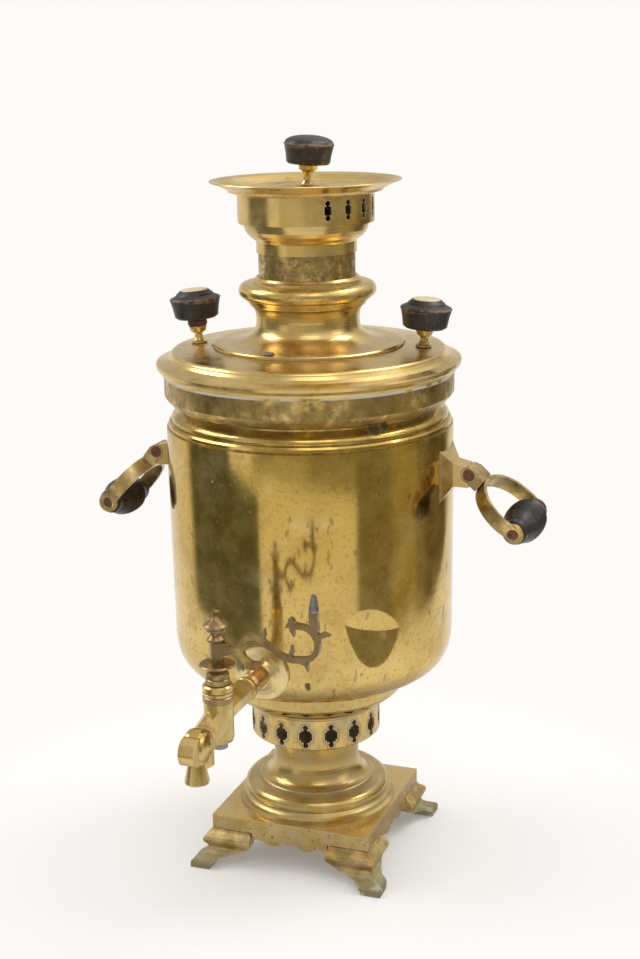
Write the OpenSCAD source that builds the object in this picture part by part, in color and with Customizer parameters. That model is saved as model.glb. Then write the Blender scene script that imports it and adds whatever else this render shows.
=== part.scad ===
// A charcoal samovar of spun and cast brass, about half a metre tall.
// Frame: the origin is on the body's axis at floor level, +Z is up, the tap points to -Y
// and the two handles stand out along +X and -X. Millimetres.

/* [Base] */
// Side of the square cast base plate
plate_side = 113; // [112.5:0.5:128]
// Height from the floor to the lower edge of the plate's skirt
foot_height = 26; // [22:0.5:34]
// Height of the plate's skirt
skirt_height = 10; // [9:0.5:14]
// Wall of the cast base plate
plate_wall = 3; // [2.5:0.25:4]
// How far a toe stands out past the plate's side
toe_out = 12.4; // [9:0.2:15]
// Side of the square sole under a toe
toe_side = 14; // [11:0.5:17]
// Length of a foot's wing along the plate's side
wing_length = 27; // [24:0.5:31]

/* [Pedestal] */
// Height of the pedestal, from the plate to the air ring
pedestal_height = 50.6; // [46:0.2:60]
// Radius of the pedestal's foot moulding
pedestal_r = 54.6; // [50:0.1:56]
// Radius of the pedestal's waist
waist_r = 29.3; // [26:0.1:32]

/* [Air ring] */
// Outer radius of the pierced air ring
air_r = 44.6; // [42:0.1:47]
// Height of the air ring, with its bead
air_height = 23.9; // [22:0.1:30]
// Number of pierced air holes
air_holes = 16; // [12:1:18]
// Height of one air hole
air_hole_height = 16.6; // [12:0.1:17]
// Width of one air hole
air_hole_width = 8.8; // [6:0.1:10]

/* [Body] */
// Outer radius of the water body at the shoulder
body_r = 95.5; // [90:0.5:102]
// Height of the body, from the air ring to the rim ring
body_height = 209.3; // [190:0.5:230]
// Outer radius of the body's neck under the rim ring
neck_r = 86; // [82:0.5:88]
// Thickness of the sheet brass
sheet = 1.3; // [1:0.05:1.6]
// Height of the rim ring that the lid rests on
rim_height = 22; // [18:0.5:28]

/* [Fire tube] */
// Outer radius of the chimney pipe
pipe_r = 31.6; // [29:0.1:31.8]
// Wall of the chimney pipe and the firebox
pipe_wall = 1.2; // [1:0.1:1.6]
// Length of the pipe that stands out above the lid's neck
pipe_bare = 20.6; // [16:0.2:30]
// Thickness of the cast grate
grate_thick = 4; // [3:0.5:6]

/* [Lid] */
// Outer radius of the lid's flange
lid_r = 100.8; // [99:0.2:106]
// Radius of the ring at the foot of the lid's flared neck
flare_r = 62.7; // [56:0.1:66]
// Height from the lid's seat to the foot of the flared neck
lid_rise = 17.6; // [15:0.2:22]
// Height of the flared neck
flare_height = 25.7; // [22:0.1:32]
// Radius of the round moulding on the lid's neck
torus_r = 45.1; // [42:0.1:48]
// Distance of each lid knob from the axis
knob_reach = 76.4; // [74:0.2:80]
// Turn of the line through the two lid knobs, away from the line of the handles
knob_turn = 9; // [-20:1:20]
// How far each lid knob leans outwards
knob_lean = 4; // [0:0.5:6]

/* [Wooden knobs] */
// Largest radius of a wooden knob
knob_r = 17; // [14:0.1:19]
// Height of a wooden knob
knob_height = 14; // [11:0.5:16]
// Radius of a brass knob stem at its neck
stem_r = 2.5; // [2.4:0.1:3.4]
// Length of a brass knob stem, from the lid to the wood
stem_length = 11.5; // [10:0.5:18]
// Thickness of the wooden collar under the left lid knob
collar_height = 4.4; // [3:0.2:6]
// How far the cap's knob leans on its old stem
cap_lean = 4; // [0:0.5:6]
// Radius of the bone disc let into a lid knob
disc_r = 9; // [7:0.1:10]

/* [Crown] */
// Outer radius of the crown's pierced band
crown_r = 44.3; // [42:0.1:48]
// Height of the crown, from its sleeve's lower edge to the tray
crown_height = 38; // [36:0.5:46]
// Radius of the tray's rim
tray_r = 62.2; // [56:0.2:68]
// Depth of the tray
tray_depth = 8; // [6:0.5:10]
// Radius of the cap plate that closes the crown
cap_r = 45.5; // [43:0.1:48]

/* [Tap] */
// Height of the tap's bore above the floor
tap_z = 162; // [156:1:180]
// Distance of the tap's barrel from the body's axis
barrel_reach = 164; // [156:1:176]
// Outer radius of the tap's barrel
barrel_r = 9.15; // [8.6:0.05:10]
// Distance of the spout's nozzle from the body's axis
nozzle_reach = 198; // [192:1:206]
// Radius of the shank that carries the tap
shank_r = 6.8; // [6.2:0.1:7.4]
// Radius of the water passage through the tap
passage_r = 3.2; // [2.6:0.1:3.6]
// Radius of the escutcheon on the body
escutcheon_r = 18; // [15:0.5:21]
// Reach of the scrolled key, from the plug's axis to its outer bend
key_reach = 66; // [60:0.5:72]
// Thickness of the cast scroll
scroll_thick = 3.6; // [3:0.1:4.4]

/* [Handles] */
// Distance of a handle's hinge from the body's axis
hinge_reach = 111.5; // [109:0.5:116]
// Height of the hinges above the floor
hinge_z = 278.6; // [262:0.2:284]
// Droop of the right handle at rest, below level
droop_right = 40; // [34:0.5:46]
// Droop of the left handle at rest, below level
droop_left = 50; // [44:0.5:54]
// Twist of the right handle's old bow about its own length
twist_right = 9; // [-10:0.5:10]
// Twist of the left handle's bow about its own length
twist_left = -4; // [-10:0.5:10]
// Width of the hinge's lug and fork
hinge_width = 16; // [14:0.5:18]
// Width of the handle's strip
strip_width = 9.8; // [9:0.1:12]
// Thickness of the handle's strip
strip_thick = 2.2; // [1.8:0.1:3]
// Mean radius of the handle's bow
bow_r = 24.7; // [23:0.1:28]
// Distance from the hinge to the grip's axis
grip_reach = 46.5; // [44:0.1:50]
// Length of the wooden grip
grip_length = 41.6; // [38:0.2:44]
// Largest radius of the wooden grip
grip_r = 13; // [10.5:0.1:13.5]
// Radius of the hinge rivet
rivet_r = 2.4; // [1.8:0.1:2.8]

/* [Hidden] */

$fn = 96;
// clearance between pieces that move past each other
gap = 0.3;
// radial clearance of a pin that turns in its bore
run = 0.07;
// soldered or screwed joint between two fixed pieces
seam = 0.05;
// how far a cutting shape runs past the solid it cuts
past = 1;

// heights of the stack, from the floor up
plate_z = foot_height + skirt_height;
air_z = plate_z + pedestal_height;
body_z = air_z + air_height + 0.1;
rim_z = body_z + body_height;
lid_z = rim_z + rim_height;
flare_z = lid_z + lid_rise;
torus_z = flare_z + flare_height;
torus_height = 18.3;
pipe_foot_z = torus_z + torus_height;
pipe_top_z = pipe_foot_z + pipe_bare;
crown_overlap = 4.8;
crown_z = pipe_top_z - crown_overlap;
tray_z = crown_z + crown_height;

brass = "goldenrod";
bronze = "darkkhaki";
wood = "#2a2523";

// ---- shared shapes ----

// Points of an arc about a centre, from angle a0 to a1
function arc(centre, r, a0, a1, steps) =
    [for (i = [0:steps]) let (a = a0 + (a1 - a0) * i / steps)
        centre + r * [cos(a), sin(a)]];

// Points of a quarter of an oval whose corner softness is set by its power
function oval(centre, a, b, a0, a1, power, steps) =
    [for (i = [0:steps]) let (t = a0 + (a1 - a0) * i / steps, c = cos(t), s = sin(t))
        centre + [a * sign(c) * pow(abs(c), 2 / power), b * sign(s) * pow(abs(s), 2 / power)]];

// A list read from its end to its start
function backwards(points) = [for (i = [len(points) - 1:-1:0]) points[i]];

// Shifts an outline up
function raised(points, z) = [for (p = points) [p[0], p[1] + z]];

module turned(points) {
    rotate_extrude() polygon(points);
}

module tube(outer, inner, height) {
    difference() {
        cylinder(r = outer, h = height);
        translate([0, 0, -past]) cylinder(r = inner, h = height + 2 * past);
    }
}

// A cylinder along Y, centred on the origin
module cross_pin(r, length) {
    rotate([90, 0, 0]) cylinder(r = r, h = length, center = true);
}

// ---- base ----

plate_half = plate_side / 2;
screw_r = 1.6;
screw_inset = 9;
apron_drop = 4.4;
apron_lobe_r = 10.5;
apron_lobe_at = 12.5;
apron_lobe_drop = 7.4;

// Cyma edge that hangs below the skirt between two feet
module apron_outline() {
    half = plate_half - wing_length - 2.2;
    top = skirt_height / 2;
    translate([-half, -apron_drop]) square([2 * half, apron_drop + top]);
    for (side = [-1, 1])
        intersection() {
            translate([side * apron_lobe_at, apron_lobe_r - apron_lobe_drop])
                circle(apron_lobe_r);
            translate([side * apron_lobe_at - apron_lobe_r, -apron_lobe_drop - past])
                square([2 * apron_lobe_r, apron_lobe_drop + past + top]);
        }
}

module base_plate() color(brass) {
    difference() {
        union() {
            difference() {
                translate([-plate_half, -plate_half, foot_height])
                    cube([plate_side, plate_side, skirt_height]);
                translate([plate_wall - plate_half, plate_wall - plate_half, foot_height - past])
                    cube([plate_side - 2 * plate_wall, plate_side - 2 * plate_wall,
                        skirt_height - plate_wall + past]);
            }
            for (turn = [0:90:270])
                rotate([0, 0, turn])
                    translate([0, -plate_half + plate_wall, foot_height])
                        rotate([90, 0, 0]) linear_extrude(plate_wall) apron_outline();
        }
        for (x = [-1, 1], y = [-1, 1])
            translate([x * (plate_half - screw_inset), y * (plate_half - screw_inset), 0])
                cylinder(r = screw_r, h = plate_z - 1);
        translate([0, 0, foot_height]) cylinder(r = waist_r - 4, h = skirt_height + past);
    }
}

pad_top = plate_z - plate_wall;
pad_thick = 4;
pad_size = 13;
toe_in = toe_out - toe_side;

// Stepped ogee of a foot, across its wing: x is out from the plate's side, y is the height
function foot_section() =
    let (h = foot_height, lip = 5.6)
    [[-1.5, h], [0.4, h - 0.5], [0.9, h - 2], [2.6, h - 3.2], [4.6, h - 5], [lip, h - 7.2],
     [lip - 0.5, h - 9.2], [lip - 2.2, h - 11.2], [2.5, h - 13.4], [3, h - 15.4],
     [5.2, h - 17.4], [toe_out - 3.8, h - 19.2], [toe_out - 1.2, h - 20.6],
     [toe_out - 0.2, h - 21.8], [toe_out, h - 23], [toe_out, 0], [toe_in, 0], [toe_in, 3.6],
     [-3.8, 7.6], [-5, 12], [-5, h]];

// Outline of a wing seen square to the plate's side
function wing_outline() =
    let (h = foot_height, w = wing_length)
    [[-w, h], [-w - 1.6, h - 3], [-w - 2, h - 7], [-w - 1, h - 10.6], [-w + 2, h - 13.2],
     [-w + 7, h - 15.6], [-w + 13.6, h - 17.2], [toe_in - 5.4, h - 18.8], [toe_in - 2.2, 4.6],
     [toe_in, 2.4], [toe_in, 0], [toe_out + past, 0], [toe_out + past, h]];

// One arm of the foot, mitred at the plate's corner, which is the origin
module foot_arm() {
    far = wing_length + toe_out + past;
    intersection() {
        translate([0, -wing_length - 2 * past, 0]) rotate([90, 0, 180]) mirror([1, 0, 0])
            linear_extrude(far + 2 * past) polygon(foot_section());
        rotate([90, 0, 90]) translate([0, 0, -toe_side - past])
            linear_extrude(toe_side + toe_out + 2 * past) polygon(wing_outline());
        linear_extrude(foot_height)
            polygon([[-far, -far], [toe_out, toe_out], [toe_out + far, toe_out],
                [toe_out + far, -far]]);
    }
}

module foot() {
    difference() {
        union() {
            foot_arm();
            mirror([1, -1, 0]) foot_arm();
            // pad that reaches up inside the skirt and takes the screw
            translate([-plate_wall - pad_size - seam, -plate_wall - pad_size - seam,
                pad_top - pad_thick])
                cube([pad_size, pad_size, pad_thick]);
            translate([-plate_wall - 3.2 - seam, -plate_wall - 3.2 - seam, foot_height - past])
                cube([3.2, 3.2, pad_top - foot_height + past]);
        }
        translate([-screw_inset, -screw_inset, 0]) cylinder(r = screw_r + seam, h = plate_z);
    }
}

module placed_foot(x, y) color(brass)
    mirror([x < 0 ? 1 : 0, 0, 0]) mirror([0, y < 0 ? 1 : 0, 0])
        translate([plate_half, plate_half, 0]) foot();

module foot_front_right() placed_foot(1, -1);
module foot_front_left() placed_foot(-1, -1);
module foot_back_right() placed_foot(1, 1);
module foot_back_left() placed_foot(-1, 1);

module foot_screws() color("gray") {
    head = 2;
    under = pad_top - pad_thick;
    for (x = [-1, 1], y = [-1, 1])
        translate([x * (plate_half - screw_inset), y * (plate_half - screw_inset), 0]) {
            translate([0, 0, under - head]) cylinder(r = screw_r + 1.6, h = head);
            translate([0, 0, under - head / 2])
                cylinder(r = screw_r - seam, h = plate_z - 1.3 - under + head / 2);
        }
}

// ---- pedestal and air ring ----

waist_z = 33;
pedestal_top_r = waist_r + 6;
cove_r = pedestal_r - 15.6;

function pedestal_outer() = concat(
    [[pedestal_r, 0], [pedestal_r, 1], [pedestal_r - 2.5, 2.2], [pedestal_r - 2.8, 4.6],
     [pedestal_r - 4.2, 5.8]],
    arc([pedestal_r - 9.8, 9.4], 5.6, -28, 82, 10),
    [[pedestal_r - 12.8, 15], [pedestal_r - 14.8, 15.1], [pedestal_r - 14.8, 16.8],
     [cove_r, 17.4]],
    oval([cove_r, waist_z], cove_r - waist_r, waist_z - 17.4, 264, 180, 2, 12),
    oval([pedestal_top_r, waist_z], pedestal_top_r - waist_r, pedestal_height - waist_z,
        174, 90, 2, 9));

function pedestal_inner() = concat(
    [[pedestal_top_r - 2 * sheet, pedestal_height]],
    oval([pedestal_top_r, waist_z], pedestal_top_r - waist_r + sheet,
        pedestal_height - waist_z, 108, 180, 2, 7),
    oval([cove_r, waist_z], cove_r - waist_r + sheet, waist_z - 17.4 + sheet, 186, 258, 2, 9),
    [[pedestal_r - 11, 11], [pedestal_r - 6.5, 4], [pedestal_r - 5, 0]]);

module pedestal() color(brass) {
    translate([0, 0, plate_z]) turned(concat(pedestal_outer(), pedestal_inner()));
}

bead_r = 1.1;
air_floor = 1.6;

// Cross with small round lobes above and below, and a wide angular middle
module air_hole_outline() {
    lobe = air_hole_width * 0.21;
    reach = air_hole_height / 2 - lobe;
    square([air_hole_width, air_hole_height * 0.34], center = true);
    square([air_hole_width * 0.7, air_hole_height * 0.52], center = true);
    square([lobe * 1.3, 2 * reach], center = true);
    for (end = [-1, 1]) translate([0, end * reach]) circle(lobe, $fn = 24);
}

module air_ring() color(brass) {
    wall_top = air_height - 2 * bead_r;
    difference() {
        translate([0, 0, air_z]) turned(concat(
            [[0, 0], [air_r - 1.4, 0], [air_r, 1.2], [air_r, wall_top]],
            arc([air_r - 0.5, air_height - bead_r], bead_r, -80, 90, 8),
            [[air_r - 2.4, air_height], [air_r - 2.4, wall_top], [air_r - 1.6, wall_top - 0.8],
             [air_r - 1.6, air_floor], [0, air_floor]]));
        for (i = [0:air_holes - 1])
            rotate([0, 0, (i + 0.5) * 360 / air_holes])
                translate([0, -air_r + 4, air_z + air_floor + air_hole_height / 2 + 0.6])
                    rotate([90, 0, 0]) linear_extrude(8) air_hole_outline();
    }
}

// ---- body ----

bowl_centre = [body_r - 33.5, 54.4];
bowl_bottom = 12.4;
bowl_power = 2.15;
lip_r = air_r - 0.3;
ridge_r = body_r - 36;
shoulder_z = body_height - 18;

function body_outer() = concat(
    [[lip_r, 0], [lip_r + 1.6, 0.9], [lip_r + 6.4, 3.1], [ridge_r - 3.4, 6.2], [ridge_r, 9.4],
     [ridge_r + 0.9, 10.2], [ridge_r + 1.3, 11.4], [ridge_r + 1.2, bowl_bottom]],
    oval(bowl_centre, body_r - 0.7 - bowl_centre[0], bowl_centre[1] - bowl_bottom,
        270 + 4, 360, bowl_power, 20),
    [[body_r, bowl_centre[1] + 85], [body_r, shoulder_z + 2], [body_r - 0.3, shoulder_z + 4.2],
     [body_r - 1.6, shoulder_z + 4.6], [body_r - 1.2, shoulder_z + 5.4],
     [body_r - 1.4, shoulder_z + 7.2], [body_r - 2.4, shoulder_z + 8.4],
     [body_r - 3.7, shoulder_z + 8.8], [body_r - 3.3, shoulder_z + 9.8],
     [body_r - 3.4, shoulder_z + 11.2], [body_r - 4.4, shoulder_z + 12.6],
     [body_r - 6.2, shoulder_z + 14.1], [neck_r + 1.2, shoulder_z + 15.7],
     [neck_r, shoulder_z + 17], [neck_r, body_height]]);

function body_inner() = concat(
    [[neck_r - sheet, body_height], [neck_r - sheet, shoulder_z + 16],
     [body_r - 7, shoulder_z + 12], [body_r - 3.9 - sheet, shoulder_z + 8],
     [body_r - 1.8 - sheet, shoulder_z + 4], [body_r - sheet, shoulder_z + 1],
     [body_r - sheet, bowl_centre[1] + 85]],
    oval(bowl_centre, body_r - 0.7 - sheet - bowl_centre[0], bowl_centre[1] - bowl_bottom - sheet,
        360, 270 + 4, bowl_power, 20),
    [[ridge_r - 1, bowl_bottom + sheet], [ridge_r - 4.6, 6.2 + sheet], [lip_r + 6, 3.1 + sheet],
     [lip_r + 1.4, 0.9 + sheet], [lip_r, 0.9 + sheet]]);

module body_shell() color(brass) {
    difference() {
        translate([0, 0, body_z]) turned(concat(body_outer(), body_inner()));
        // hole that the tap's threaded tail goes through
        translate([0, -body_r + 5, tap_z]) rotate([90, 0, 0])
            cylinder(r = shank_r + seam, h = 12);
    }
}

band_r = body_r + 0.5;
seat_in = body_r - 1;

module rim_ring() color(brass) {
    h = rim_height;
    translate([0, 0, rim_z]) turned([
        [neck_r, seam], [neck_r + 2, 0.5], [band_r - 4.3, 2.7], [band_r - 1.4, 6], [band_r, 8],
        [band_r, h - 2], [band_r + 0.9, h - 0.9], [band_r + 0.9, h], [seat_in, h],
        [seat_in, 9.2], [seat_in - 1.4, 7.2], [band_r - 5.4, 4], [neck_r + 1, 1.9],
        [neck_r - sheet, 1.5], [neck_r - sheet, seam]]);
}

// ---- fire tube ----

firebox_r = lip_r - seam;
firebox_top_z = rim_z - 2;
ledge = 1.6;

module firebox_tube() color("peru") {
    z0 = body_z + 0.1;
    rise = firebox_top_z - z0;
    translate([0, 0, z0]) turned([
        [firebox_r, 0], [firebox_r, 30], [firebox_r - 2.4, rise * 0.4],
        [pipe_r + 2.2, rise * 0.88], [pipe_r, rise], [pipe_r - pipe_wall, rise],
        [pipe_r + 2.2 - pipe_wall, rise * 0.88], [firebox_r - 2.4 - pipe_wall, rise * 0.4],
        [firebox_r - pipe_wall, 30], [firebox_r - pipe_wall, 2],
        [firebox_r - pipe_wall - ledge, 2], [firebox_r - pipe_wall - ledge, 0]]);
}

module chimney_pipe() color("darkgoldenrod") {
    translate([0, 0, firebox_top_z + seam])
        tube(pipe_r, pipe_r - pipe_wall, pipe_top_z - firebox_top_z - seam);
}

module grate() color("dimgray") {
    hole = 3.2;
    pitch = 9.6;
    translate([0, 0, body_z + 0.1 + 2]) difference() {
        cylinder(r = firebox_r - pipe_wall - gap, h = grate_thick);
        for (ring = [0:3], i = [0:max(0, 6 * ring - 1)])
            rotate([0, 0, ring == 0 ? 0 : i * 60 / ring])
                translate([ring * pitch, 0, -past]) cylinder(r = hole, h = grate_thick + 2 * past);
    }
}

// ---- lid ----

bore_r = pipe_r + gap;
skirt_r = seat_in - gap;
shoulder_r = lid_r - 12.6;

module lid_plate() color(brass) {
    h = lid_rise;
    outer = concat(
        [[band_r + 0.9, 0], [band_r + 1.4, 1.6], [lid_r - 2.2, 2.5], [lid_r - 0.5, 4],
         [lid_r, 5.9], [lid_r - 0.4, 7.1], [lid_r - 2.8, 7.7], [lid_r - 5.8, 8.6],
         [lid_r - 8.4, 10.2]],
        arc([shoulder_r - 0.4, h - 6.4], 3.4, 15, 82, 5),
        [[flare_r + 1, h - 1.2], [flare_r + 1, h - 1.9]]);
    difference() {
        translate([0, 0, lid_z]) turned(concat(outer,
            [[bore_r + 3, h - 1.9], [bore_r + 3, h - 1.9 - sheet],
             [shoulder_r - 1.5, h - 3 - sheet], [lid_r - 10.6, 8.2], [lid_r - 7.6, 6.4],
             [skirt_r - sheet, 5.4], [skirt_r - sheet, -6], [skirt_r, -6], [skirt_r, 0]]));
        for (side = [0, 180])
            rotate([0, 0, knob_turn + side])
                translate([knob_reach - (side > 0 ? 2 : 0), 0, lid_z])
                    cylinder(r = stem_hole_r, h = lid_rise + past);
    }
}

module lid_flare() color(brass) {
    h = flare_height;
    throat_r = bore_r + 2;
    throat_z = h - 9.4;
    outer = concat(
        [[flare_r - 0.6, -1.85], [flare_r, -1], [flare_r, 0.4], [flare_r - 0.7, 1.1]],
        oval([flare_r - 2, throat_z], flare_r - 2 - throat_r, throat_z - 1.3, 268, 180, 2.6, 18),
        oval([throat_r + 4.2, throat_z], 4.2, 9.4, 170, 92, 2, 6));
    inner = [[bore_r, h], [bore_r, throat_z - 6], [bore_r + 2.2, throat_z - 12.6],
        [bore_r + 6, 0.2], [bore_r + 6, -1.85]];
    difference() {
        translate([0, 0, flare_z]) turned(concat(outer, inner));
        translate(vent_at - [0, 0, 2.4]) cylinder(r = 1.6, h = 4);
    }
}

module lid_torus() color(brass) {
    round_r = 5.2;
    centre = [torus_r - round_r, 9.2];
    translate([0, 0, torus_z + seam]) turned(concat(
        [[bore_r, 0], [bore_r + 6, 0], [bore_r + 6.5, 0.9], [torus_r - 4.2, 4.1]],
        arc(centre, round_r, -62, 84, 14),
        [[bore_r + 3.8, 14.7], [bore_r + 3.8, 16.3], [bore_r + 2.6, 17],
         [bore_r + 1.4, torus_height - seam], [bore_r, torus_height - seam]]));
}

vent_at = [-5.1, -57.3, flare_z + 1.35];

module steam_vent() color("gray") {
    translate(vent_at) {
        translate([0, 0, -2.3]) cylinder(r = 1.6 - seam, h = 3);
        translate([0, 0, 0.15]) turned([[0, 0], [3.4, 0], [3.4, 0.6], [2.4, 1.4], [0, 1.7]]);
    }
}

// ---- knobs ----

stem_hole_r = 2.6;
stem_foot_z = flare_z - 1.9;

module on_lid(side) {
    rotate([0, 0, knob_turn + (side < 0 ? 180 : 0)])
        translate([knob_reach - (side < 0 ? 2 : 0), 0, stem_foot_z])
            rotate([0, knob_lean, 0]) children();
}

// Turned brass stem from its foot at z 0 to the wood, with a threaded tail below
module stem_shape(length, tail) {
    turned(concat(
        [[0, -tail], [stem_hole_r - 0.35, -tail], [stem_hole_r - 0.35, 0.4], [stem_r + 2.8, 0.4],
         [stem_r + 2.7, 1.3], [stem_r + 1.4, 2.2], [stem_r + 0.3, 4]],
        [[stem_r, length * 0.5], [stem_r + 0.8, length * 0.62], [stem_r + 2.4, length * 0.7],
         [stem_r + 3.4, length - 0.6], [stem_r + 3.4, length], [2, length],
         [2, length + knob_height * 0.6], [0, length + knob_height * 0.6]]));
}

// Turned wooden knob with a stepped top; the recess takes a disc
module knob_shape(recess) {
    h = knob_height;
    step = 5.5;
    turned([
        [2 + seam, 0], [7, 0], [knob_r - 4.4, 0.9], [knob_r - 2.6, 2.2], [knob_r - 1.6, h * 0.6],
        [knob_r - 0.3, h - 0.6], [knob_r, h], [knob_r - 0.8, h + 0.8], [knob_r - 3.4, h + 2],
        [knob_r - 4.3, h + 2.4], [knob_r - 5.1, h + 3.6], [knob_r - 6.2, h + 4.4],
        [disc_r + 0.6, h + step], [recess > 0 ? disc_r : 0, h + step],
        [recess > 0 ? disc_r : 0, h + step - recess], [0, h + step - recess],
        [0, h * 0.6 + seam], [2 + seam, h * 0.6 + seam]]);
}

module lid_stem_right() color(brass) on_lid(1) stem_shape(stem_length, 5.6);
module lid_stem_left() color(brass)
    on_lid(-1) stem_shape(stem_length, 5.6);
module lid_knob_right() color(wood) on_lid(1) translate([0, 0, stem_length]) knob_shape(1.4);
module lid_knob_left() color(wood)
    on_lid(-1) translate([0, 0, stem_length + collar_height]) knob_shape(1.4);

// Turned collar that packs up the left knob
module knob_collar() color("saddlebrown") {
    on_lid(-1) translate([0, 0, stem_length + seam]) turned([
        [2 + seam, 0], [5.6, 0], [6.4, 1], [6.6, collar_height / 2], [6.3, collar_height - 0.8],
        [5.8, collar_height - 2 * seam], [2 + seam, collar_height - 2 * seam]]);
}

module knob_disc(side) color("ivory") {
    lift = side < 0 ? collar_height : 0;
    on_lid(side) translate([0, 0, stem_length + lift + knob_height + 5.5 - 1.4])
        turned([[0, 0], [disc_r - seam, 0], [disc_r - seam, 1.5], [disc_r - 0.8, 2], [0, 2.2]]);
}
module knob_disc_right() knob_disc(1);
module knob_disc_left() knob_disc(-1);

module nut(hole, height) {
    difference() {
        cylinder(r = hole + 3, h = height, $fn = 6);
        translate([0, 0, -past]) cylinder(r = hole, h = height + 2 * past);
    }
}

module stem_nuts() color(bronze) {
    for (side = [-1, 1])
        on_lid(side) translate([0, 0, -2.4 - sheet - 1.2 - 1]) nut(stem_hole_r - 0.3, 2.2);
}

// ---- crown and cap ----

sleeve_r = pipe_r + gap;
slot_pitch = 18.8;
slot_row = 76.4;
slots_per_row = 5;

// Keyhole-like slot with a round hole at each end of a square one
module crown_slot() {
    square([4.6, 5.4], center = true);
    for (end = [-1, 1]) {
        translate([0, end * 4.6]) circle(1.7, $fn = 24);
        square([1.6, 8.4], center = true);
    }
}

module crown_cup() color(brass) {
    h = crown_height;
    cup_r = crown_r - 3.9;
    wall = sheet;
    difference() {
        translate([0, 0, crown_z]) turned([
            [sleeve_r, 0], [sleeve_r + 0.9, 0], [sleeve_r + 0.8, 7], [sleeve_r + 1.9, 8.2],
            [cup_r - 4, 10], [cup_r - 1.9, 12.2], [cup_r - 0.6, 14.6], [cup_r, 17],
            [cup_r + 0.2, 18.9], [crown_r - 0.2, 19.1], [crown_r, 19.8], [crown_r, h - seam],
            [crown_r - wall, h - seam], [crown_r - wall, 19.1 + wall], [cup_r - wall, 19.1 + wall],
            [cup_r - wall, 17.4], [cup_r - 0.8 - wall, 15], [cup_r - 2.4 - wall, 12.8],
            [cup_r - 4.6 - wall, 11], [sleeve_r, 9.4], [sleeve_r - 1, 8.6],
            [sleeve_r - 1, crown_overlap], [sleeve_r, crown_overlap]]);
        for (side = [0, 180], i = [0:slots_per_row - 1])
            rotate([0, 0, side + slot_row + (i - (slots_per_row - 1) / 2) * slot_pitch])
                translate([0, -crown_r + 4, crown_z + h - 8.6])
                    rotate([90, 0, 0]) linear_extrude(8) crown_slot();
    }
}

dish_r = cap_r + 0.8;

module crown_tray() color(brass) {
    d = tray_depth;
    translate([0, 0, tray_z]) turned([
        [crown_r - 4.4, 0], [crown_r + 2.6, 0], [crown_r + 3.6, 0.6], [crown_r + 5.8, 1],
        [crown_r + 6.7, 2.6], [crown_r + 8, 3.1], [tray_r - 5, d - 2.4], [tray_r - 0.7, d - 1],
        [tray_r, d - 0.5], [tray_r - 0.3, d], [tray_r - 1, d], [tray_r - 5.4, d - 1.2],
        [crown_r + 7.8, 4.2], [dish_r + 1, 2.2], [dish_r, 1.6], [crown_r - 4.4, 1.6]]);
}

cap_stem_z = tray_z + 1.6 + 2.4;
cap_stem_length = 13;
cap_stem_at = [1.2, 0];

module on_cap() {
    translate([cap_stem_at[0], cap_stem_at[1], cap_stem_z]) rotate([0, cap_lean, 0]) children();
}

module cap_plate() color(brass) {
    difference() {
        translate([0, 0, tray_z + 1.6])
            turned([[0, 0], [cap_r, 0], [cap_r, 1.1], [cap_r - 2, 1.7], [20, 2.2], [0, 2.4]]);
        translate([cap_stem_at[0], cap_stem_at[1], tray_z]) cylinder(r = stem_hole_r, h = 6);
    }
}

module cap_stem() color(brass) {
    length = cap_stem_length;
    on_cap() turned([
        [0, -5.6], [stem_hole_r - 0.4, -5.6], [stem_hole_r - 0.4, 0.35], [stem_r + 2, 0.35],
        [stem_r + 1.8, 1.2], [stem_r + 0.4, 3.4], [stem_r, length * 0.5],
        [stem_r + 0.8, length * 0.66], [stem_r + 3.4, length * 0.8], [stem_r + 3.6, length],
        [2, length], [2, length + knob_height * 0.6], [0, length + knob_height * 0.6]]);
}

// Older and plainer knob than the two on the lid: a worn, domed top with no disc
module cap_knob() color(wood) {
    h = knob_height - 1;
    top_r = knob_r - 0.7;
    on_cap() translate([0, 0, cap_stem_length]) turned(concat(
        [[2 + seam, 0], [7, 0], [top_r - 3.2, 0.8], [top_r - 2.2, 1.8], [top_r - 1.6, h * 0.5],
         [top_r - 0.4, h - 0.6], [top_r, h + 0.2]],
        oval([0, h + 0.6], top_r - 0.6, 5.2, 6, 84, 2.2, 9),
        [[0, h + 5.8], [0, knob_height * 0.6 + seam], [2 + seam, knob_height * 0.6 + seam]]));
}

module cap_nut() color(bronze) {
    on_cap() translate([0, 0, -5.3]) nut(stem_hole_r - 0.35, 2.4);
}

// ---- tap ----

// Places a shape that is turned about +Z so that it is turned about -Y, at the tap's height
module along_tap(y) {
    translate([0, y, tap_z]) rotate([90, 0, 0]) children();
}

module escutcheon() color(brass) {
    r = escutcheon_r;
    root = body_r - 8;
    difference() {
        along_tap(0) turned([
            [shank_r + seam, root], [r, root], [r, body_r + 0.9], [r - 0.8, body_r + 1.4],
            [r - 4, body_r + 2.1], [shank_r + 4, body_r + 3.6], [shank_r + 2, body_r + 5.2],
            [shank_r + 1.5, body_r + 6.6], [shank_r + seam, body_r + 6.6]]);
        cylinder(r = body_r + seam, h = rim_z);
    }
}

octagon_from = body_r + 30;
barrel_low = 144.6 - 162;
barrel_high = 182 - 162;
plug_top_r = 6.2;
plug_low_r = 4.7;
tail_r = 2.4;
elbow_z = -7;
nozzle_low = -28.8;

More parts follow.
